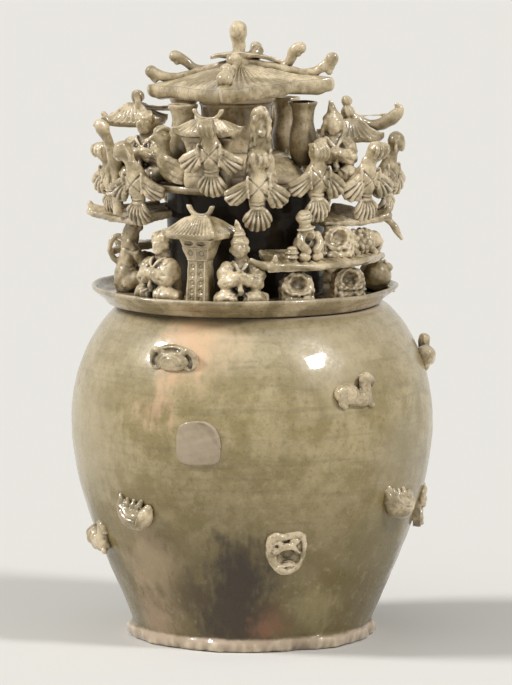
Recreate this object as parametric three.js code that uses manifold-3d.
// A funerary jar in grey-green glazed stoneware: a thrown body under a gallery that is crowded
// with moulded figures, birds, gate towers and tiled roofs, and a roof-shaped lid that lifts off.
// Millimetres, +Z up, origin at the middle of the foot. The front faces -Y, and an azimuth
// is measured from the front, positive towards +X.
import * as THREE from "three";
import { mergeVertices } from "three/addons/utils/BufferGeometryUtils.js";
import Module from "manifold-3d";

const wasm = await Module();
wasm.setup();

// Clearance between pieces that were luted together
const GAP = 0.3;
const ROUND = 32;

// Thrown body
const FOOT_R = 94;
const BEAD_R = 95.5;
const BEAD_H = 10;
const WAIST_R = 93;
const BELLY_R = 138;
const BELLY_Z = 168;
const SHOULDER_R = 104;
const SHOULDER_Z = 255;
const BODY_WALL = 7;
const BASE_T = 9;
const BODY_MOUTH_R = 62;

// Gallery tray on the shoulder
const TRAY_X = -4;
const TRAY_R = 118;
const TRAY_FLOOR_T = 8.4;
const TRAY_DEPTH = 6.3;
const TRAY_LIP_T = 4;
const TRAY_HOLE_R = 48;

// Drum that carries the upper storey
const DRUM_X = -5;
const DRUM_R = 60;
const DRUM_H = 80;
const DRUM_WALL = 6;

// Ledge on the drum
const LEDGE_X = -9;
const LEDGE_R = 78;
const LEDGE_T = 6;
const LEDGE_HOLE_R = 44;

// Upper vessel with a ringed shoulder and a straight neck
const VESSEL_X = -12;
const VESSEL_R = 56;
const VESSEL_H = 59.4;
const NECK_R = 27;
const NECK_H = 38;
const NECK_WALL = 5;
const NECK_RINGS = 3;

// Four small jars round the neck
const SMALL_JAR_R = 10.5;
const SMALL_JAR_H = 49;
const SMALL_JAR_WALL = 2.4;
const SMALL_JAR_RING_R = 51;

// Lid, whose roof sits a little to one side of its collar
const LID_SHIFT = 3.6;
const LID_R = 70.5;
const LID_TURN = -12;
const LID_LEAN = -2.5;
const LID_EAVE_T = 10.5;
const LID_RISE = 14.5;
const LID_LIFT = 4;
const LID_COLLAR_H = 9;
const LID_COLLAR_WALL = 4;
const LID_FIT = 0.8;
const LID_RIB_H = 1.3;
const RIDGE_R = 3.2;

// Towers and tiled roofs
const GATE_W = 21.4;
const GATE_D = 15;
const GATE_H = 50;
const GATE_ROOF_W = 44;
const GATE_ROOF_D = 38;
const GATE_ROOF_RISE = 17;
const TOWER_W = 34;
const TOWER_D = 13;
const TOWER_H = 38;
const TOWER_ROOF_W = 48;
const TOWER_ROOF_D = 24;
const TOWER_ROOF_RISE = 13;
const PAVILION_H = 39;
const LOW_PAVILION_H = 27;
const PAVILION_ROOF_W = 34;
const PAVILION_ROOF_D = 44;
const PAVILION_ROOF_RISE = 18;
const PAVILION_BALL_R = 5.2;
const HORN_R = 4.4;
const ROOF_T = 4.5;
const TILE_H = 1.2;
const SIDE_ROOF_DROP = 14;
const SIDE_ROOF_R = 122;
const RIGHT_ROOF_R = 112;
const SIDE_ROOF_FALL = 8;
const GALLERY_ROOF_R = 104;
const GALLERY_ROOF_Z = 27.5;
const GALLERY_ROOF_FALL = 7.5;

// Moulded work, and the circles that it stands on
const BIRD_H = 64;
const PERCHED_BIRD_H = 42;
const FINIAL_H = 36;
const LONG_NECK_BIRD_H = 74;
const FIGURE_H = 62;
const PLAQUE_W = 26;
const BEAR_H = 52;
const BEAST_H = 21;
const PANEL_H = 45;
const SPRIG_W = 30;
const TRAY_RING_R = 92;
const ROOF_RING_R = 90;
const LEDGE_RING_R = 70;

// Heights that follow from the sizes above
const TRAY_Z = SHOULDER_Z + GAP;
const FLOOR_Z = TRAY_Z + TRAY_FLOOR_T;
const DRUM_Z = FLOOR_Z + GAP;
const LEDGE_Z = DRUM_Z + DRUM_H + GAP;
const LEDGE_TOP = LEDGE_Z + LEDGE_T;
const VESSEL_Z = LEDGE_TOP + GAP;
const NECK_TOP = VESSEL_Z + VESSEL_H;
const LID_Z = NECK_TOP + GAP;
const EAVE_Z = LID_Z + LID_LIFT;
const CLEAR_TOP = EAVE_Z * 1.2;

const glaze = (color) => new THREE.MeshStandardMaterial({ color, roughness: 0.25, metalness: 0 });
const bodyGlaze = glaze("#a79c80");
const trayGlaze = glaze("#a3997a");
const wallGlaze = glaze("#6f6650");
const figureGlaze = glaze("#c3b995");
const birdGlaze = glaze("#c9bf9d");
const roofGlaze = glaze("#aea383");
const sprigGlaze = glaze("#b5ab8c");

const degrees = (angle) => (angle * Math.PI) / 180;
const point = (x, y, z) => new THREE.Vector3(x, y, z);
const ratio = (from, to, t) => from + (to - from) * t;

// Solids

// A closed solid from a three.js geometry, with its shared corners merged
function solid(geometry) {
  const bare = new THREE.BufferGeometry();
  bare.setAttribute("position", geometry.getAttribute("position"));
  if (geometry.index) bare.setIndex(geometry.index);
  const merged = mergeVertices(bare, 1e-4);
  const corners = merged.index.array;
  const triVerts = [];
  for (let i = 0; i < corners.length; i += 3) {
    const [a, b, c] = corners.slice(i, i + 3);
    if (a !== b && b !== c && c !== a) triVerts.push(a, b, c);
  }
  return new wasm.Manifold(new wasm.Mesh({
    numProp: 3,
    vertProperties: new Float32Array(merged.getAttribute("position").array),
    triVerts: new Uint32Array(triVerts),
  }));
}

const join = (parts) => parts.reduce((whole, part) => whole.add(part));
const cut = (whole, parts) => parts.reduce((rest, part) => rest.subtract(part), whole);

// A turned form: the profile is [radius, height] pairs, up the outside and down the inside
function turned(profile, sides = ROUND, x = 0) {
  const points = profile.map(([r, z]) => new THREE.Vector2(Math.max(r, 0), z));
  const first = points[0];
  const last = points[points.length - 1];
  if (first.x > 0 || last.x > 0) points.push(first.clone());
  const geometry = new THREE.LatheGeometry(points, sides);
  geometry.rotateX(Math.PI / 2);
  return solid(geometry.translate(x, 0, 0));
}

function ball(centre, radii, sides = 7, rings = 4) {
  const geometry = new THREE.SphereGeometry(1, sides, rings);
  geometry.rotateX(Math.PI / 2);
  geometry.scale(...radii);
  return solid(geometry.translate(...centre));
}

// A roll of clay through a list of [x, y, z, radius], with rounded ends: a turned rod whose
// rings are moved onto the stops
function coil(stops, sides = 6) {
  const path = stops.map(([x, y, z]) => point(x, y, z));
  const end = path.length - 1;
  const profile = [[0, -2], [0.75, -1], ...stops.map((stop, i) => [1, i])];
  profile.push([0.75, end + 1], [0, end + 2]);
  const geometry = new THREE.LatheGeometry(profile.map((p) => new THREE.Vector2(...p)), sides);
  const heading = path[end].clone().sub(path[0]).normalize();
  const upright = new THREE.Quaternion().setFromUnitVectors(point(0, 1, 0), heading);
  const spots = geometry.getAttribute("position");
  for (let i = 0; i < spots.count; i += 1) {
    const level = Math.round(spots.getY(i));
    const k = THREE.MathUtils.clamp(level, 0, end);
    const radius = stops[k][3];
    const along = path[Math.min(k + 1, end)].clone().sub(path[Math.max(k - 1, 0)]).normalize();
    const cap = [0, 0.66, 1][Math.abs(level - k)] * Math.sign(level - k) * radius;
    const across = point(spots.getX(i), 0, spots.getZ(i)).multiplyScalar(radius);
    across.applyQuaternion(upright);
    across.applyQuaternion(new THREE.Quaternion().setFromUnitVectors(heading, along));
    const spot = path[k].clone().addScaledVector(along, cap).add(across);
    spots.setXYZ(i, spot.x, spot.y, spot.z);
  }
  return solid(geometry);
}

// A flat slab of clay standing upright: the outline is [x, z] pairs, the thickness runs along Y
function slab(outline, thickness, centre = [0, 0, 0], tilt = [0, 0, 0]) {
  const shape = new THREE.Shape(outline.map(([x, z]) => new THREE.Vector2(x, z)));
  const geometry = new THREE.ExtrudeGeometry(shape, { depth: thickness, bevelEnabled: false });
  geometry.translate(0, 0, -thickness / 2);
  geometry.rotateX(Math.PI / 2);
  geometry.rotateX(degrees(tilt[0]));
  geometry.rotateY(degrees(tilt[1]));
  geometry.rotateZ(degrees(tilt[2]));
  return solid(geometry.translate(...centre));
}

function box(low, high) {
  const size = high.map((value, axis) => value - low[axis]);
  const middle = high.map((value, axis) => (value + low[axis]) / 2);
  return solid(new THREE.BoxGeometry(...size).translate(...middle));
}

// A four-sided turned form: its sides stand at half-widths w and d where the profile says 1
function squared(profile, w, d) {
  const points = profile.map(([r, z]) => new THREE.Vector2(r * Math.SQRT2, z));
  const geometry = new THREE.LatheGeometry(points, 4, Math.PI / 4);
  geometry.rotateX(Math.PI / 2);
  return solid(geometry.scale(w, d, 1));
}

// Tiled slopes round a rectangle: a turned form whose rings are drawn out to four sides, with
// every second line lifted into a tile rib where the profile is marked as tiled, and the four
// corner lines lifted by hipH. The profile is [share of the half-width, height, tiled].
function tiled(profile, w, d, ribs, ribH, hipH = 0) {
  const points = profile.map(([r, z]) => new THREE.Vector2(r, z));
  const geometry = new THREE.LatheGeometry(points, ribs * 8, -Math.PI / 4);
  const spots = geometry.getAttribute("position");
  for (let i = 0; i < spots.count; i += 1) {
    const line = Math.floor(i / profile.length) % (ribs * 8);
    const [share, height, isTile] = profile[i % profile.length];
    const side = Math.floor(line / (ribs * 2));
    const step = line % (ribs * 2);
    const along = (step / ribs - 1) * share;
    const turn = (side * Math.PI) / 2;
    const x = Math.sin(turn) * share + Math.cos(turn) * along;
    const y = -Math.cos(turn) * share + Math.sin(turn) * along;
    const lift = (step % 2 ? ribH : 0) + (step === 0 ? hipH : 0);
    const reach = step === 0 && hipH && share === 1 ? 1.06 : 1;
    spots.setXYZ(i, x * w * reach, y * d * reach, height + (isTile ? lift * Math.min(1, share * 1.6) : 0));
  }
  return solid(geometry);
}

// An upright wedge from the axis x between two azimuths
function wedge(x, from, to, reach = SIDE_ROOF_R * 1.5, top = CLEAR_TOP) {
  const steps = Math.ceil((to - from) / 30);
  const outline = [[0, 0]];
  for (let i = 0; i <= steps; i += 1) {
    const angle = degrees(ratio(from, to, i / steps));
    outline.push([Math.sin(angle) * reach, -Math.cos(angle) * reach]);
  }
  const shape = new THREE.Shape(outline.map((p) => new THREE.Vector2(...p)));
  const geometry = new THREE.ExtrudeGeometry(shape, { depth: top, bevelEnabled: false });
  return solid(geometry.translate(x, 0, 0));
}

// Placing

// The frame of a piece at an azimuth, a radius and a height round an upright axis at x
function station({ x = 0, azimuth, radius, z, turn = 0, lean = 0, size = 1 }) {
  const around = new THREE.Matrix4().makeRotationZ(degrees(azimuth));
  const out = new THREE.Matrix4().makeTranslation(0, -radius, z);
  const facing = new THREE.Matrix4().makeRotationZ(degrees(turn));
  const leaning = new THREE.Matrix4().makeRotationX(degrees(lean));
  const scaled = new THREE.Matrix4().makeScale(size, size, size);
  const place = new THREE.Matrix4().makeTranslation(x, 0, 0);
  return place.multiply(around).multiply(out).multiply(facing).multiply(leaning).multiply(scaled);
}

const jar = new THREE.Group();
const lid = new THREE.Group();
jar.add(lid);

function add(name, manifold, material, frame = new THREE.Matrix4(), group = jar) {
  const { vertProperties, triVerts } = manifold.getMesh();
  const geometry = new THREE.BufferGeometry();
  geometry.setAttribute("position", new THREE.BufferAttribute(vertProperties, 3));
  geometry.setIndex(new THREE.BufferAttribute(triVerts, 1));
  const mesh = new THREE.Mesh(geometry, material);
  mesh.name = name;
  mesh.applyMatrix4(frame);
  group.add(mesh);
}

// Adds a piece at its station, trimmed where it meets what carries it
function seat(name, manifold, material, place, carriers = []) {
  const frame = station(place);
  const back = frame.clone().invert().elements;
  add(name, cut(manifold, carriers.map((carrier) => carrier.transform(back))), material, frame);
}

// Vessels

const lowerBody = new THREE.CubicBezierCurve(
  new THREE.Vector2(WAIST_R, BEAD_H + 4),
  new THREE.Vector2(WAIST_R + 18, BEAD_H + 51),
  new THREE.Vector2(BELLY_R, BELLY_Z - 55),
  new THREE.Vector2(BELLY_R, BELLY_Z),
);
const upperBody = new THREE.CubicBezierCurve(
  new THREE.Vector2(BELLY_R, BELLY_Z),
  new THREE.Vector2(BELLY_R, ratio(BELLY_Z, SHOULDER_Z, 0.43)),
  new THREE.Vector2(SHOULDER_R + 18, SHOULDER_Z - 18),
  new THREE.Vector2(SHOULDER_R, SHOULDER_Z - 2),
);

// The body's wall line, moved outwards by offset
function wallLine(offset, steps) {
  const stretch = (curve) => curve.getPoints(steps).map((p) => [p.x + offset, p.y]);
  return [...stretch(lowerBody), ...stretch(upperBody).slice(1)];
}

function jarBody() {
  const outside = [
    [0, 0], [FOOT_R, 0], [BEAD_R, BEAD_H * 0.4], [BEAD_R - 0.6, BEAD_H * 0.85],
    ...wallLine(0, 4),
    [SHOULDER_R - 3, SHOULDER_Z], [BODY_MOUTH_R, SHOULDER_Z],
  ];
  const landing = SHOULDER_Z - BODY_WALL - 1;
  const inside = wallLine(-BODY_WALL, 2).filter(([, z]) => z < landing - 3).reverse();
  return turned([
    ...outside,
    [BODY_MOUTH_R, landing], [SHOULDER_R - BODY_WALL - 3, landing],
    ...inside,
    [WAIST_R - BODY_WALL - 6, BASE_T], [0, BASE_T],
  ]);
}

// A solid that fills the body's outline and stands proud by offset, for trimming what lies on it
function bodyEnvelope(offset) {
  return turned([
    [0, 0], [FOOT_R + offset, 0], ...wallLine(offset, 4), [0, SHOULDER_Z],
  ]);
}

function galleryTray() {
  const rim = TRAY_Z + TRAY_FLOOR_T + TRAY_DEPTH;
  const foot = SHOULDER_R - 4;
  return turned([
    [TRAY_HOLE_R, TRAY_Z], [foot, TRAY_Z], [foot + 5, TRAY_Z + 1.5],
    [ratio(foot, TRAY_R, 0.55), TRAY_Z + 6.5], [ratio(foot, TRAY_R, 0.6), TRAY_Z + 7.6],
    [TRAY_R - 1.5, rim - TRAY_LIP_T], [TRAY_R, rim - TRAY_LIP_T * 0.7], [TRAY_R, rim - 1],
    [TRAY_R - 1.6, rim], [TRAY_R - TRAY_LIP_T, rim - 1.4],
    [TRAY_R - TRAY_LIP_T * 2.4, FLOOR_Z], [TRAY_HOLE_R, FLOOR_Z],
  ], ROUND, TRAY_X);
}

function drum(offset = 0) {
  const outer = DRUM_R + offset;
  return turned([
    [DRUM_R - DRUM_WALL, DRUM_Z], [outer, DRUM_Z], [outer, DRUM_Z + DRUM_H],
    [DRUM_R - DRUM_WALL, DRUM_Z + DRUM_H],
  ], ROUND, DRUM_X);
}

function ledge(offset = 0) {
  const outer = LEDGE_R + offset;
  const low = LEDGE_Z - offset;
  const high = LEDGE_TOP + offset;
  return turned([
    [LEDGE_HOLE_R, low], [outer - 2.5, low], [outer, low + 2.5], [outer, high - 1.2],
    [outer - 1.2, high], [LEDGE_HOLE_R, high],
  ], ROUND, LEDGE_X);
}

// The outside of the upper vessel: a shoulder with throwing rings, then the neck
function vesselLine(offset) {
  const neckZ = VESSEL_Z + VESSEL_H - NECK_H;
  const rings = [];
  for (let i = 1; i <= NECK_RINGS; i += 1) {
    const t = i / (NECK_RINGS + 1);
    const r = ratio(VESSEL_R, NECK_R + 1.5, t);
    const z = ratio(VESSEL_Z + 4, neckZ, Math.sin((t * Math.PI) / 2) * 0.92 + t * 0.08);
    rings.push([r + offset, z + (i % 2) * 0.9]);
  }
  return [
    [VESSEL_R + offset, VESSEL_Z], [VESSEL_R + offset, VESSEL_Z + 3], ...rings,
    [NECK_R + 0.6 + offset, neckZ + 2], [NECK_R - 0.5 + offset, neckZ + 14],
    [NECK_R + offset, NECK_TOP - 6], [NECK_R + 1.2 + offset, NECK_TOP - 2],
  ];
}

function upperVessel() {
  const bore = NECK_R - NECK_WALL;
  const neckZ = VESSEL_Z + VESSEL_H - NECK_H;
  return turned([
    ...vesselLine(0), [NECK_R + 0.4, NECK_TOP], [bore, NECK_TOP], [bore, neckZ - 3],
    [ratio(bore, VESSEL_R, 0.45), neckZ - 8], [VESSEL_R - NECK_WALL - 4, VESSEL_Z + 4],
    [VESSEL_R - NECK_WALL - 2, VESSEL_Z],
  ], ROUND, VESSEL_X);
}

const vesselEnvelope = () => turned([
  [0, VESSEL_Z], ...vesselLine(GAP), [0, NECK_TOP],
], ROUND, VESSEL_X);

// A small jar with a flared mouth, a short neck and a rounded belly, open inside
function smallJar() {
  const r = SMALL_JAR_R;
  const h = SMALL_JAR_H;
  const wall = SMALL_JAR_WALL;
  return turned([
    [0, 0], [r * 0.62, 0], [r * 1.06, h * 0.36], [r * 0.8, h * 0.68],
    [r * 1.08, h * 0.96], [r, h], [r * 0.82, h - 1], [r * 0.78 - wall, h * 0.7],
    [r * 0.9 - wall, h * 0.5], [0, h * 0.42],
  ], 10);
}

// Lid

const lidAxis = new THREE.Matrix4().makeTranslation(VESSEL_X, 0, 0);

// The roof's surface along a corner, as [radius, height above the eave's underside]
const LID_SLOPE = [[1, 0], [0.62, 0.3], [0.28, 0.7], [0.1, 0.97], [0, 1]];
const lidHeight = (t) => LID_EAVE_T + LID_RISE * t;

function tilted(manifold) {
  const turn = new THREE.Matrix4().makeRotationZ(degrees(LID_TURN));
  const lean = new THREE.Matrix4().makeRotationY(degrees(LID_LEAN));
  const up = new THREE.Matrix4().makeTranslation(LID_SHIFT, 0, EAVE_Z);
  return manifold.transform(up.multiply(lean).multiply(turn).elements);
}

// The lid's slopes: a square roof of which one corner faces the turn, with ribs in fans
function roofSlope(ribs = 5, ribH = LID_RIB_H) {
  const half = LID_R * Math.SQRT1_2;
  const slope = LID_SLOPE.map(([r, t]) => [r, lidHeight(t), r > 0.1]);
  const slab4 = tiled([[0, 0], [0.95, 0], [1, LID_EAVE_T * 0.5], ...slope], half, half, ribs, ribH);
  return slab4.transform(new THREE.Matrix4().makeRotationZ(Math.PI / 4).elements);
}

// The lid's roof: tiled slopes, a round seat on the neck and a hollow collar inside the mouth
function lidRoof() {
  const outer = NECK_R - NECK_WALL - LID_FIT;
  const inner = outer - LID_COLLAR_WALL;
  const low = LID_Z - LID_COLLAR_H;
  const plug = turned([[0, low], [outer - 1, low], [outer, low + 1], [outer, LID_Z],
    [NECK_R + 3, LID_Z], [NECK_R + 5, EAVE_Z + 4], [0, EAVE_Z + 4]], 24);
  const hollow = turned([[0, low - 1], [inner, low - 1], [inner, EAVE_Z + LID_EAVE_T * 0.6],
    [0, EAVE_Z + LID_EAVE_T]], 16);
  return tilted(roofSlope()).add(plug).subtract(hollow);
}

// The height of the plain slope at a share of the corner's radius
function slopeAt(share) {
  const outer = LID_SLOPE.findIndex(([r]) => r <= share);
  const [[r1, t1], [r0, t0]] = [LID_SLOPE[outer], LID_SLOPE[Math.max(outer - 1, 0)]];
  return lidHeight(r0 === r1 ? t1 : ratio(t1, t0, (share - r1) / (r0 - r1)));
}

// A hip ridge that ends at a share of the corner's radius and rises to its end by rise ridge radii
const hipStops = (angle, tip, rise) => [
  [0.08, 0.3, 1], [tip * 0.55, 0.6, 1], [tip * 0.76, 0.6 + rise * 0.1, 1.1],
  [tip * 0.9, 0.6 + rise * 0.55, 1.3], [tip, 0.6 + rise, 1.4],
].map(([share, lift, thick]) => [
  Math.sin(degrees(angle)) * LID_R * share, -Math.cos(degrees(angle)) * LID_R * share,
  slopeAt(Math.min(share, 1)) + lift * RIDGE_R, RIDGE_R * thick,
]);

// A main ridge and four hip ridges, each rolled out and curled up at its ends
function lidRidges() {
  const back = LID_R * 0.09;
  const main = [-1, 1].map((side) => coil([
    [0, back, lidHeight(0.95), RIDGE_R * 1.2],
    [side * LID_R * 0.32, back, lidHeight(0.72), RIDGE_R],
    [side * LID_R * 0.5, back, lidHeight(0.72), RIDGE_R * 1.1],
    [side * LID_R * (0.7 - side * 0.03), back, lidHeight(1.14 + side * 0.2), RIDGE_R * 1.3],
  ], 5));
  const hips = [[0, 0.76, 1.2], [90, 1.03, 3.7], [180, 0.9, 5], [270, 0.98, 2.3]]
    .map(([angle, tip, rise]) => coil(hipStops(angle, tip, rise), 5));
  const crown = ball([0, back / 2, lidHeight(0.96)], [RIDGE_R * 3.4, RIDGE_R * 2.8, RIDGE_R * 1.3]);
  return join([...main, ...hips, crown]);
}

// A bird on the ridge with its wings spread and its neck straight up
function lidBird() {
  const wing = [[-21, 0], [-12, -4], [0, -5.5], [16, -5], [32, 0], [22, 4], [8, 7], [-8, 6]];
  const shape = new THREE.Shape(wing.map((p) => new THREE.Vector2(...p)));
  const wings = new THREE.ExtrudeGeometry(shape, { depth: 4, bevelEnabled: false });
  const size = FINIAL_H / 36;
  return join([
    solid(wings.translate(0, 0, 3)),
    coil([[8, 2, 1, 5], [0, -2, 2, 7], [-5, -7, 2, 7]], 7),
    coil([[-1, 0, 4, 5], [-1.5, 0, 14, 5], [-2, 0, 20, 6.6], [-2, 0, 25, 6]], 7),
  ]).scale([size, size, size]);
}

// Tiled roofs

const drumEnvelope = turned([
  [0, 0], [DRUM_R + GAP, 0], [DRUM_R + GAP, CLEAR_TOP], [0, CLEAR_TOP],
], ROUND, DRUM_X);

// A hipped roof with tile ribs, a crescent ridge and turned-up corners
function tiledRoof(width, depth, rise, ribs = 3) {
  const slopes = tiled([
    [0, 0], [0.94, 0], [1, ROOF_T * 0.8, true], [0.6, ratio(ROOF_T, rise, 0.42), true],
    [0.2, rise], [0, rise],
  ], width / 2, depth / 2, ribs, TILE_H, TILE_H * 2.2);
  const crest = [[-13, -6], [13, -6], [20, 1], [25.5, 14], [22, 16], [17, 7], [0, 3.2],
    [-17, 7], [-22, 16], [-25.5, 14], [-20, 1]].map(([x, z]) => [x / 88, z / 88]);
  const ridge = slab(crest, 0.11).scale([width, width, width]);
  return slopes.add(ridge.translate([0, 0, rise]));
}

// A gate pillar: a tapering shaft in two panels under a flaring capital
function gatePillar() {
  const shaft = squared([[0, 0], [1, 0], [0.98, 3], [0.8, GATE_H * 0.66], [0.84, GATE_H * 0.7],
    [1.05, GATE_H * 0.86], [1.12, GATE_H * 0.87], [1.36, GATE_H], [0, GATE_H]], GATE_W / 2, GATE_D / 2);
  const face = -GATE_D * 0.44;
  const groove = box([-GATE_W * 0.02, -GATE_D, GATE_H * 0.06], [GATE_W * 0.02, face, GATE_H * 0.62]);
  const panels = [-1, 1].map((side) => box(
    [GATE_W * (side * 0.23 - 0.17), -GATE_D, GATE_H * 0.9],
    [GATE_W * (side * 0.23 + 0.17), face * 1.4, GATE_H * 0.97],
  ));
  return cut(shaft, [groove, ...panels]);
}

function towerBlock() {
  const line = [[0, 0], [1, 0], [0.96, TOWER_H * 0.7], [1.12, TOWER_H], [0, TOWER_H]];
  const window = box([-TOWER_W * 0.12, -TOWER_D, TOWER_H * 0.45],
    [TOWER_W * 0.12, -TOWER_D * 0.34, TOWER_H * 0.8]);
  return squared(line, TOWER_W / 2, TOWER_D / 2).subtract(window);
}

// The corner of a square eave that leans against the drum, with a turned-up hip on its corner
// and, where it is drooping, a second ridge end that falls away under the first
const sideRoofTop = LEDGE_Z - SIDE_ROOF_DROP;

function sideRoof(corner, from, to, reach, drooping) {
  const eave = sideRoofTop - SIDE_ROOF_FALL;
  const half = reach * Math.SQRT1_2;
  const inner = 0.5;
  const slab4 = tiled([
    [inner, sideRoofTop - ROOF_T], [0.98, eave - ROOF_T], [1, eave, true],
    [inner, sideRoofTop, true], [inner, sideRoofTop - ROOF_T],
  ], half, half, 7, TILE_H);
  const turn = new THREE.Matrix4().makeRotationZ(degrees(corner + 45));
  const slopes = slab4.transform(turn.setPosition(DRUM_X, 0, 0).elements);
  const angle = degrees(corner);
  const at = (r, z, thick) => [DRUM_X + Math.sin(angle) * r, -Math.cos(angle) * r, z, thick];
  const hip = coil([
    at(DRUM_R + 12, sideRoofTop - 1, 2.4), at(reach - 18, eave + 2, 2.8),
    at(reach - 7, eave + 2.5, 3), at(reach - 2, eave + 6, 2.4),
  ]);
  const droop = coil([
    at(reach - 6, eave + 1, 2.8), at(reach, eave - 6, 2.6), at(reach + 4, eave - 13, 2.4),
    at(reach + 8, eave - 16, 1.8),
  ]);
  const roof = slopes.intersect(wedge(DRUM_X, from, to)).add(hip);
  return cut(drooping ? roof.add(droop) : roof, [drumEnvelope]);
}

// The gallery roof: an annular stretch of tiles that leans on the drum over the niche figures
function galleryRoofSlab(offset = 0) {
  const low = FLOOR_Z + GALLERY_ROOF_Z;
  const high = low + GALLERY_ROOF_FALL;
  const outer = GALLERY_ROOF_R + offset;
  const sides = 80;
  const profile = [
    [DRUM_R - 10, high - offset], [outer - 2, low - offset], [outer, low + ROOF_T * 0.5],
    [outer - 1.5, low + ROOF_T + offset], [DRUM_R - 10, high + ROOF_T + offset],
    [DRUM_R - 10, high - offset],
  ];
  const geometry = new THREE.LatheGeometry(profile.map((p) => new THREE.Vector2(...p)), sides);
  geometry.rotateX(Math.PI / 2);
  const spots = geometry.getAttribute("position");
  for (let i = 0; i < spots.count; i += 1) {
    const isTile = [3, 4].includes(i % profile.length) && Math.floor(i / profile.length) % 2;
    if (isTile) spots.setZ(i, spots.getZ(i) + TILE_H);
  }
  return solid(geometry.translate(DRUM_X, 0, 0));
}

function galleryRoof(from, to) {
  const low = FLOOR_Z + GALLERY_ROOF_Z + ROOF_T;
  const spot = (azimuth, r, z) => [
    DRUM_X + Math.sin(degrees(azimuth)) * r, -Math.cos(degrees(azimuth)) * r, z,
  ];
  const tips = [from + 4, to - 4].map((end) => coil([
    [...spot(end, GALLERY_ROOF_R - 18, low + 2), 2.2],
    [...spot(end, GALLERY_ROOF_R - 5, low + 1.5), 2.6],
    [...spot(end, GALLERY_ROOF_R + 1, low + 6), 2],
  ], 5));
  const hive = ball(spot(from + 13, GALLERY_ROOF_R - 12, low + 6), [6, 6, 8]);
  const tiles = galleryRoofSlab().intersect(wedge(DRUM_X, from, to));
  return cut(join([tiles, ...tips, hive]), [drumEnvelope]);
}

// A pavilion at the edge of the ledge: a post, a hipped roof that juts outwards and balls that
// are stacked on its ridge
function pavilion(height, balls) {
  const reach = -PAVILION_ROOF_D * 0.27;
  const roof = tiledRoof(PAVILION_ROOF_W, PAVILION_ROOF_D, PAVILION_ROOF_RISE)
    .translate([0, reach, height]);
  const top = height * 1.04;
  const post = squared([[0, 0], [1, 0], [0.9, top * 0.8], [1.1, top], [0, top]],
    PAVILION_ROOF_W / 5, PAVILION_ROOF_D / 9);
  const stack = Array.from({ length: balls }, (_, i) => ball(
    [0, reach * 0.8, height + PAVILION_ROOF_RISE + PAVILION_BALL_R * (0.9 + i * 1.7)],
    [PAVILION_BALL_R, PAVILION_BALL_R, PAVILION_BALL_R],
  ));
  return join([post, roof, ...stack]);
}

// The ridge of a pavilion's roof that runs on outwards into a horn with a pointed tip
function ridgeHorn(height) {
  const out = PAVILION_ROOF_D;
  return coil([
    [0, -out * 0.32, height + PAVILION_ROOF_RISE, HORN_R * 0.7],
    [0, -out * 0.61, height + PAVILION_ROOF_RISE * 0.6, HORN_R * 0.8],
    [0, -out * 0.82, height + PAVILION_ROOF_RISE * 0.64, HORN_R * 0.9],
    [0, -out * 1.02, height + PAVILION_ROOF_RISE * 0.94, HORN_R],
    [0, -out * 1.15, height + PAVILION_ROOF_RISE * 1.26, HORN_R * 0.9],
  ], 7).add(coil([
    [0, -out * 1.13, height + PAVILION_ROOF_RISE * 1.26, HORN_R * 0.8],
    [0, -out * 1.05, height + PAVILION_ROOF_RISE * 1.58, HORN_R * 0.25],
  ], 5));
}

// Moulded birds, figures and beasts

// The clay below a piece's own foot, which is pressed flat
const below = box([-60, -60, -60], [60, 60, 0]);
const pressed = (piece, size) => piece.subtract(below).scale([size, size, size]);

// A bird with its back to the viewer: crested head up, wings spread down, fanned tail below
function bird() {
  const fan = [[-5, -8], [-8, -14]];
  const flutes = 3;
  for (let i = 0; i <= flutes * 2; i += 1) {
    const angle = degrees(ratio(190, 350, i / (flutes * 2)));
    const reach = i % 2 ? 12 : 10.8;
    fan.push([Math.cos(angle) * reach, -19 + Math.sin(angle) * reach]);
  }
  fan.push([8, -14], [5, -8]);
  const wing = [[3, 9], [9, 10.5], [18, 3], [24.5, -6], [23, -12.5], [16, -12], [3, -2]];
  const body = coil([
    [0, 0, -9, 5], [0, 0, -1, 8.8], [0, 0, 7, 8.4], [0, -1.5, 14, 5.4], [0, -2.5, 22, 5.8],
    [0, -4, 28.5, 5.4],
  ]);
  const wings = [-1, 1].map((side) => slab(
    wing.map(([x, z]) => [side * x, z]), 4.4, [0, 0.5, 0], [0, 0, side * 8],
  ));
  const size = BIRD_H / 64;
  return join([body, slab(fan, 5), ...wings]).scale([size, size, size]);
}

// A bird that sits with its wings folded and its long neck up
function perchedBird() {
  const body = coil([
    [0, 15, 6, 2], [0, 8, 6, 4.6], [0, 0, 7, 7.4], [0, -6, 14, 6.2], [0, -8, 24, 4.4],
    [0, -8, 33, 4.6], [0, -10, 37, 5.2], [0, -14, 37, 2.2],
  ], 7);
  const wings = [-1, 1].map((side) => coil([
    [side * 5, -3, 10, 3.6], [side * 6, 4, 9, 3.4], [side * 4, 14, 8, 1.6],
  ], 5));
  return pressed(join([body, ...wings]), PERCHED_BIRD_H / 42);
}

// A bird that stands between the wings of two others and stretches its long neck out over them
function longNeckedBird() {
  const wings = [-1, 1].map((side) => coil([[side * 4, -2, 40, 3.2], [side * 5, 2, 32, 3]], 5));
  return pressed(join([
    coil([[0, 0, 1, 4.2], [0, 0, 12, 4.2], [0, -0.5, 30, 4.6], [0, -2, 40, 6], [0, -5, 49, 4.2],
      [0, -8.5, 58, 3.8], [0, -12, 66, 5.4], [0, -14, 69, 4.6], [0, -18, 69, 2]], 7),
    ...wings,
  ]), LONG_NECK_BIRD_H / 74);
}

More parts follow.
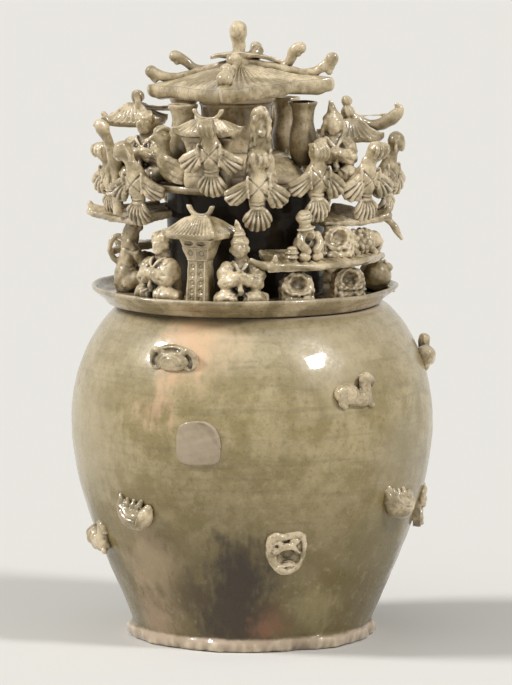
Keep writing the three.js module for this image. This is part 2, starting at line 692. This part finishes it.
// A seated figure in a cap, hands folded over the knees
function seatedFigure(cap = 12) {
  return pressed(join([
    coil([[0, 1, 4, 15], [0, 1, 22, 12.8], [0, 1, 28, 9.4], [0, 0, 32, 5.6], [0, -0.5, 37, 7.8],
      [0, -0.5, 45, 7.6], [0, 0, 46.5 + cap, 1.8]]),
    coil([[-12, 0, 25, 5], [-9, -9, 18, 4.4], [9, -9, 18, 4.4], [12, 0, 25, 5]], 5),
    coil([[-11, -4, 6, 7.2], [11, -4, 6, 7.2]], 6),
  ]), FIGURE_H / 60);
}

// A moulded plaque with a round top: a small figure sits in a hollow niche
function nichePlaque(w = PLAQUE_W, h = PLAQUE_W * 0.96) {
  const outline = [[-w / 2, 0], [w / 2, 0], [w / 2, h * 0.55]];
  for (let i = 1; i < 5; i += 1) {
    const angle = (Math.PI * i) / 5;
    outline.push([(Math.cos(angle) * w) / 2, h * 0.55 + Math.sin(angle) * h * 0.45]);
  }
  outline.push([-w / 2, h * 0.55]);
  const niche = ball([0, -w * 0.21, h * 0.62], [w * 0.26, w * 0.19, h * 0.26], 8, 4);
  const knees = coil([[-w * 0.2, -w * 0.15, h * 0.16, w * 0.15],
    [w * 0.2, -w * 0.15, h * 0.16, w * 0.15]], 6);
  return slab(outline, w * 0.35).subtract(niche).add(knees).subtract(below);
}

// A bear on its haunches that reaches for the eave, with its long tail looped behind
function climbingBear() {
  const loop = [20, 100, 180, 260, 340].map((turn) => [
    -11 + Math.cos(degrees(turn - 180)) * 6, 0, 24 + Math.sin(degrees(turn - 180)) * 8, 2.2,
  ]);
  return pressed(join([
    coil([[-2, 0, 6, 11], [-1, 0, 14, 10.5], [2, 0, 24, 8], [4, 0, 33, 7.5], [6, -1, 41, 7.4],
      [7, -2, 46, 4]], 7),
    coil([[4, -7, 6, 6], [9, -5, 12, 5]], 6), coil([[4, -6, 30, 3.4], [11, -6, 18, 3.2]], 5),
    coil([[-2, 0, 32, 3.6], [-6, 0, 46, 3.2]], 5), coil(loop, 5),
  ]), BEAR_H / 50);
}

function twinBeasts() {
  return pressed(join([
    ball([-6, -1, 9], [10, 10, 12], 8, 5), ball([9, 1, 7], [9, 9, 10], 8, 5),
  ]), BEAST_H / 21);
}

// A figure that carries a ball on its cap, in front of a niche plaque
function ballBearer() {
  const bearer = coil([[-2, -3, 8, 6], [-2, -4, 14, 6.4], [-3, -3, 20, 5.2], [-4, -2, 23, 6],
    [-5, -2, 26, 4], [-6, -2, 30, 5.8], [-6, -2, 34, 4]], 7);
  const size = FIGURE_H / 60;
  return nichePlaque(PLAQUE_W * 0.92, PLAQUE_W * 0.85).add(bearer.scale([size, size, size]));
}

// A crouching beast with a curly mane
function manedBeast() {
  return pressed(join([
    coil([[-14, 0, 8, 4.6], [-8, 0, 8, 7.4], [2, 0, 8, 7.6], [10, -1, 11, 7.6], [17, -1, 9, 4]], 7),
    coil([[6, -4, 6, 4], [12, -5, 1, 3.4]], 5), coil([[-9, -4, 5, 4], [-7, -6, 1, 3.4]], 5),
  ]), BEAST_H / 21);
}

// A worn upright panel with the shape of a hooded figure pressed into it
function hoodedPanel() {
  const outline = [[-10, 0], [10, 0], [9, 18], [6.5, 22], [7, 38], [4, 44], [-2, 45], [-6, 40],
    [-6.5, 24], [-9, 18]];
  return pressed(slab(outline, 8).subtract(ball([0.5, -5.5, 33], [4, 4, 7])), PANEL_H / 45);
}

// Sprigs: small moulded reliefs luted on the body

function crabSprig() {
  const claws = [-1, 1].map((side) => coil([
    [side * 8, 0, 4, 2.6], [side * 16, 0, 8, 2.4], [side * 17, 0, -2, 1.8], [side * 12, 0, -8, 1.6],
  ], 5));
  return join([ball([0, 0, 0], [13, 5, 8.5], 8, 5), ...claws]);
}

function beastSprig() {
  return join([
    coil([[-12, 0, 4, 3.6], [-7, 0, 0, 6], [4, 0, 0, 6], [10, -0.5, 6, 5], [12, -0.5, 11, 2.4]], 7),
    coil([[6, 0, -3, 3], [9, 0, -10, 2.2]], 5), coil([[-8, 0, -3, 3], [-5, 0, -9, 2.2]], 5),
  ]);
}

function fishSprig() {
  return coil([[-12, 0, 4, 2], [-6, 0, -3, 4.6], [2, 0, -4, 5], [9, 0, 1, 4], [12, 0, 6, 2.2]], 7);
}

function maskSprig() {
  const outline = [[-12, 14], [12, 14], [14.5, 8], [13, -4], [8, -13], [0, -16], [-8, -13],
    [-13, -4], [-14.5, 8]];
  const dish = ball([0, -6.5, 0], [11.5, 5, 11.5], 8, 4);
  return slab(outline, 8).subtract(dish).add(ball([0, -3.2, 1], [9, 3.4, 10]));
}

// Assembly

// A piece with a layer of GAP on it in the given directions, for trimming what touches it
function skin(piece, directions = [[0, 0, 1]]) {
  const shifted = directions.map((way) => piece.translate(way.map((value) => value * GAP)));
  return join([piece, ...shifted]);
}

const bodySkin = bodyEnvelope(GAP);
const ledgeSkin = ledge(GAP);
const vesselSkin = vesselEnvelope();

add("jar_body", jarBody(), bodyGlaze);
add("gallery_tray", galleryTray(), trayGlaze);
add("lower_drum", drum(), wallGlaze);
add("upper_ledge", ledge(), trayGlaze);
add("upper_vessel", upperVessel(), bodyGlaze);

const smallJarFoot = NECK_TOP - SMALL_JAR_H;
[82, 132, -128, -52].forEach((azimuth, i) => seat(
  `small_jar_${i + 1}`, smallJar(), bodyGlaze,
  { x: VESSEL_X, azimuth, radius: SMALL_JAR_RING_R, z: smallJarFoot }, [vesselSkin],
));

const plainSlope = tilted(roofSlope(1, 0)).translate([0, 0, GAP + LID_RIB_H]);
const ridges = tilted(lidRidges());
add("lid_roof", lidRoof(), roofGlaze, lidAxis, lid);
add("lid_ridges", ridges.subtract(plainSlope), roofGlaze, lidAxis, lid);
const finial = lidBird().translate([LID_SHIFT, 0, EAVE_Z + lidHeight(0.97)]);
add("lid_bird", cut(finial, [skin(ridges), plainSlope]), birdGlaze, lidAxis, lid);

// Places round the tray's floor, the ledge's top and the gallery roof
const trayAt = (azimuth, radius = TRAY_RING_R, turn = 0) => (
  { x: TRAY_X, azimuth, radius, z: FLOOR_Z + GAP, turn }
);
const ledgeAt = (azimuth, radius = LEDGE_RING_R, turn = 0) => (
  { x: LEDGE_X, azimuth, radius, z: LEDGE_TOP + GAP, turn }
);
const roofAt = (azimuth) => (
  { x: DRUM_X, azimuth, radius: ROOF_RING_R, z: FLOOR_Z + GALLERY_ROOF_Z + ROOF_T }
);
const raised = (place, height) => ({ ...place, z: place.z + height + GAP });
const placed = (piece, place) => piece.transform(station(place).elements);

// Gate towers on the tray, towers on the ledge, each with its roof. The hidden ones are in one.
const gateRoof = tiledRoof(GATE_ROOF_W, GATE_ROOF_D, GATE_ROOF_RISE);
const frontGate = trayAt(-22, TRAY_RING_R, -8);
const gateTower = gatePillar().add(gateRoof.translate([0, 0, GATE_H * 0.99]));
seat("gate_pillar_front", gatePillar(), figureGlaze, frontGate);
seat("gate_roof_front", gateRoof, roofGlaze, raised(frontGate, GATE_H));
seat("gate_tower_back", gateTower, figureGlaze, trayAt(158, TRAY_RING_R, -8));
const towerRoof = tiledRoof(TOWER_ROOF_W, TOWER_ROOF_D, TOWER_ROOF_RISE);
const frontTower = ledgeAt(-20);
const backTower = towerBlock().add(towerRoof.translate([0, 0, TOWER_H * 0.99]));
seat("tower_front", towerBlock(), figureGlaze, frontTower, [vesselSkin]);
seat("tower_roof_front", towerRoof, roofGlaze, raised(frontTower, TOWER_H), [vesselSkin]);
seat("tower_back", backTower, figureGlaze, ledgeAt(160), [vesselSkin]);

// Roofs that lean on the drum, and the pavilions at the sides of the ledge
const galleryRight = galleryRoof(9.5, 84);
const sideRight = sideRoof(82, 48, 116, RIGHT_ROOF_R, true);
const sideLeft = sideRoof(-98, -132, -68, SIDE_ROOF_R, false);
const hornedPavilion = pavilion(LOW_PAVILION_H, 2).add(ridgeHorn(LOW_PAVILION_H));
add("gallery_roof_right", galleryRight, roofGlaze);
add("gallery_roof_back", galleryRoof(189.5, 258), roofGlaze);
add("side_roof_right", sideRight, roofGlaze);
add("side_roof_left", sideLeft, roofGlaze);
seat("pavilion_right", hornedPavilion, roofGlaze, ledgeAt(101, LEDGE_R - 4), [vesselSkin]);
seat("pavilion_left", pavilion(PAVILION_H, 1), roofGlaze, ledgeAt(-100), [vesselSkin]);

// Figures on the tray
[-43.5, -2.5, 136, 177].forEach((azimuth, i) => seat(
  `seated_figure_${i + 1}`, seatedFigure(i % 2 ? 12 : 9), figureGlaze, trayAt(azimuth),
));
[24, 58, 204, 238].forEach((azimuth, i) => seat(
  `niche_figure_${i + 1}`, nichePlaque(), figureGlaze, trayAt(azimuth),
));
seat("climbing_bear", climbingBear(), figureGlaze, trayAt(-90, TRAY_RING_R * 0.97, 90));
seat("twin_beasts", twinBeasts(), figureGlaze, trayAt(93, TRAY_RING_R * 1.05));

// Figures on the gallery roof
const tileSkin = [skin(galleryRight)];
seat("ball_bearer", ballBearer(), figureGlaze, roofAt(32), tileSkin);
seat("niche_figure_5", nichePlaque(PLAQUE_W * 0.88, PLAQUE_W * 0.81), figureGlaze, roofAt(50), tileSkin);
seat("maned_beast", manedBeast(), figureGlaze, roofAt(69), tileSkin);

// Figures on the ledge
seat("upper_figure_right", seatedFigure(12), figureGlaze, ledgeAt(72), [vesselSkin]);
seat("upper_figure_left", seatedFigure(4), figureGlaze, ledgeAt(-74), [vesselSkin]);
seat("hooded_panel", hoodedPanel(), figureGlaze, ledgeAt(16, LEDGE_RING_R * 0.96), [vesselSkin]);

// Birds that cling to the ledge's edge, out and up from it by shares of a bird's height
const towerSkin = skin(placed(towerBlock(), frontTower), [[-0.35, -1, 0]]);
const ledgeBird = (azimuth, out, up, lean = 0) => ({
  x: LEDGE_X, azimuth, radius: LEDGE_R + out * BIRD_H, z: LEDGE_TOP + up * BIRD_H, lean,
});
// Birds that stand on the side roofs, in from the corner by a share of the roof's reach
const sideSkins = [sideRight, sideLeft].map((roof) => (
  skin(roof, [[0, 0, 1], [0.6, -1, 0.4], [0, 0, -12]])
));
const roofBird = (azimuth, radius, up, lean, size = 1) => ({
  x: LEDGE_X, azimuth, radius, z: sideRoofTop + up * BIRD_H, lean, size,
});
const leftSkins = [ledgeSkin, sideSkins[1]];
const rightSkins = [ledgeSkin, sideSkins[0]];
const sideBird = roofBird(71, RIGHT_ROOF_R * 0.9, 0.29, 4);
const sideBirdSkin = skin(placed(bird(), sideBird), [[0, 1, 0], [-1, 0, 0]]);
const leftBirds = [ledgeBird(-61, 0.17, -0.05, 9), roofBird(-92, SIDE_ROOF_R * 0.81, 0.28, 4, 0.9)];
[
  [ledgeBird(-15, 0.08, 0.34, 8), [ledgeSkin, towerSkin]],
  [ledgeBird(9, 0.09, -0.05), [ledgeSkin]],
  [ledgeBird(42.5, 0.115, 0.03), rightSkins],
  [sideBird, rightSkins],
  [roofBird(88, RIGHT_ROOF_R, 0.3, 5), [...rightSkins, sideBirdSkin]],
  [leftBirds[0], leftSkins],
  [leftBirds[1], leftSkins],
  [ledgeBird(132, 0.09, 0), [ledgeSkin]],
  [ledgeBird(178, 0.09, -0.05), [ledgeSkin]],
  [ledgeBird(-143, 0.09, 0), [ledgeSkin]],
].forEach(([place, carriers], i) => seat(`bird_${i + 1}`, bird(), birdGlaze, place, carriers));
seat("perched_bird_1", perchedBird(), birdGlaze, ledgeAt(-46, LEDGE_RING_R, -30), [vesselSkin]);
const wingSkins = leftBirds.map((place) => skin(placed(bird(), place), [[0, 1, 0], [0, -1, 0]]));
const betweenWings = {
  x: LEDGE_X, azimuth: -77, radius: SIDE_ROOF_R * 0.78, z: sideRoofTop - SIDE_ROOF_FALL * 0.6,
};
seat("perched_bird_2", longNeckedBird(), birdGlaze, betweenWings, [...leftSkins, ...wingSkins]);

// Sprigs on the body, each at an azimuth and a share of the shoulder's height
const sprigs = [
  ["crab_sprig", crabSprig(), -27.8, 0.88], ["beast_sprig_1", beastSprig(), 34.5, 0.784],
  ["fish_sprig_1", fishSprig(), -42, 0.42], ["mask_sprig_1", maskSprig(), 12, 0.318],
  ["fish_sprig_2", fishSprig(), 57, 0.44], ["beast_sprig_2", beastSprig(), -72, 0.314],
  ["mask_sprig_2", maskSprig(), 88, 0.392], ["beast_sprig_3", beastSprig(), 92, 0.84],
];
const wall = wallLine(0, 24);
const nearer = (z) => (best, spot) => (Math.abs(spot[1] - z) < Math.abs(best[1] - z) ? spot : best);
const wallRadius = (z) => wall.reduce(nearer(z))[0];
const sprigSize = SPRIG_W / 30;
sprigs.forEach(([name, form, azimuth, share]) => seat(
  name, form, sprigGlaze, {
    azimuth, radius: wallRadius(SHOULDER_Z * share) + 1, z: SHOULDER_Z * share, size: sprigSize,
  }, [bodySkin],
));

export default jar;
